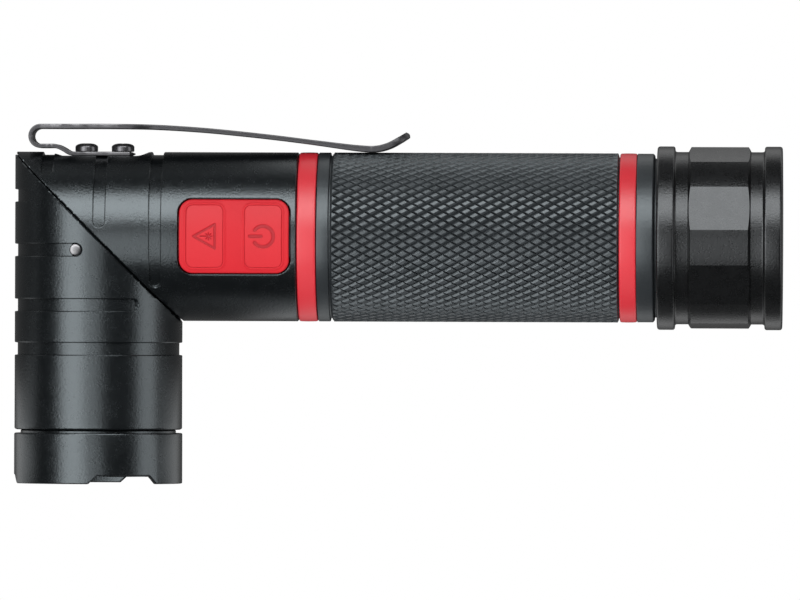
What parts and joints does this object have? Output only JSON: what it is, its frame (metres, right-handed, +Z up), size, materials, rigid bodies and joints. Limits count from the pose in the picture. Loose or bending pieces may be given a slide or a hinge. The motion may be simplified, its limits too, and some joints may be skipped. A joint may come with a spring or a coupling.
{
  "type": "swivel head flashlight",
  "caption": "Pocket flashlight with a head that swivels on a 45-degree split, red switch boot, knurled grip, steel clip and faceted tail cap.",
  "frame": {"origin": "centre of the bounding box at its base; the torch lies on its side with its buttons up and its head at a right angle", "axes": "+X along the tube towards the tail cap, +Y towards the clip side, -Y the way the lamp shines, +Z up through the buttons"},
  "size_m": [0.1382, 0.0646, 0.033],
  "materials": {
    "black_anodised": "satin black anodised, fine bead-blast grain",
    "red_silicone": "matte red silicone",
    "clip_steel": "dark plated spring steel",
    "plain_steel": "bright steel",
    "seal_rubber": "black rubber",
    "brass": "plain brass",
    "board_green": "green circuit board",
    "black_plastic": "black plastic",
    "white_plastic": "white board",
    "red_plastic": "red wire cover",
    "cell_wrap": "printed cell sleeve, plain",
    "mirror_coat": "metallised plastic",
    "clear_glass": "clear",
    "phosphor": "yellow phosphor",
    "bare_aluminium": "bare machined"
  },
  "bodies": {
    "root": {"body_housing": "black_anodised", "switch_boot": "red_silicone", "laser_switch": "black_plastic", "power_switch": "black_plastic", "switch_board": "board_green", "swivel_spindle": "plain_steel", "swivel_washer": "plain_steel", "swivel_nut": "brass", "swivel_seal": "seal_rubber", "driver_board": "board_green", "front_contact_spring": "brass", "lead_red_body": "red_plastic", "lead_black_body": "black_plastic", "clip_foot": "clip_steel", "clip_screw_1": "plain_steel", "clip_screw_2": "plain_steel", "grip_tube": "black_anodised", "front_accent_ring": "red_silicone", "rear_accent_ring": "red_silicone", "tail_o_ring": "seal_rubber", "tube_o_ring": "seal_rubber", "battery_carrier": "black_plastic", "cell_1": "cell_wrap", "cell_2": "cell_wrap", "cell_3": "cell_wrap"},
    "head": {"head_housing": "black_anodised", "stop_pin": "plain_steel", "bezel": "black_anodised", "lens": "clear_glass", "lens_gasket": "seal_rubber", "reflector": "mirror_coat", "laser_module": "brass", "led_board": "white_plastic", "led_emitter": "phosphor", "heat_sink": "bare_aluminium", "lead_red_head": "red_plastic", "lead_black_head": "black_plastic"},
    "laser_button": {"laser_button_pad": "red_silicone", "laser_plunger": "black_plastic"},
    "power_button": {"power_button_pad": "red_silicone", "power_plunger": "black_plastic"},
    "clip_spring_arm": {"clip_arm": "clip_steel"},
    "tail_contact": {"tail_spring": "brass", "tail_contact_plate": "brass"},
    "tail_cap_body": {"tail_cap": "black_anodised", "tail_magnet": "plain_steel"}
  },
  "joints": [
    {"name": "head_swivel", "type": "hinge", "parent": "root", "child": "head", "pos_m": [-0.05395, 0.01215, 0.01649], "axis": [-0.7071, -0.7071, 0], "range_deg": [0, 180]},
    {"name": "laser_button_press", "type": "slide", "parent": "root", "child": "laser_button", "axis": [0, 0, -1], "range_m": [0, 0.0006], "stiffness_N_per_m": 3000},
    {"name": "power_button_press", "type": "slide", "parent": "root", "child": "power_button", "axis": [0, 0, -1], "range_m": [0, 0.0006], "stiffness_N_per_m": 3000},
    {"name": "clip_flex", "type": "hinge", "parent": "root", "child": "clip_spring_arm", "pos_m": [-0.06435, 0.0303, 0.01649], "axis": [0, 0, 1], "range_deg": [0, 4], "stiffness_Nm_per_rad": 4.4},
    {"name": "tail_cap_travel", "type": "slide", "parent": "root", "child": "tail_contact", "axis": [1, 0, 0], "range_m": [0, 0.00625]},
    {"name": "tail_cap_turn", "type": "hinge", "parent": "tail_contact", "child": "tail_cap_body", "pos_m": [0.04665, 0.01215, 0.01649], "axis": [1, 0, 0], "range_deg": [0, 1800]}
  ],
  "couplings": [
    {"joint": "tail_cap_turn", "follows": "tail_cap_travel", "rad_per_m": 5026.5}
  ]
}
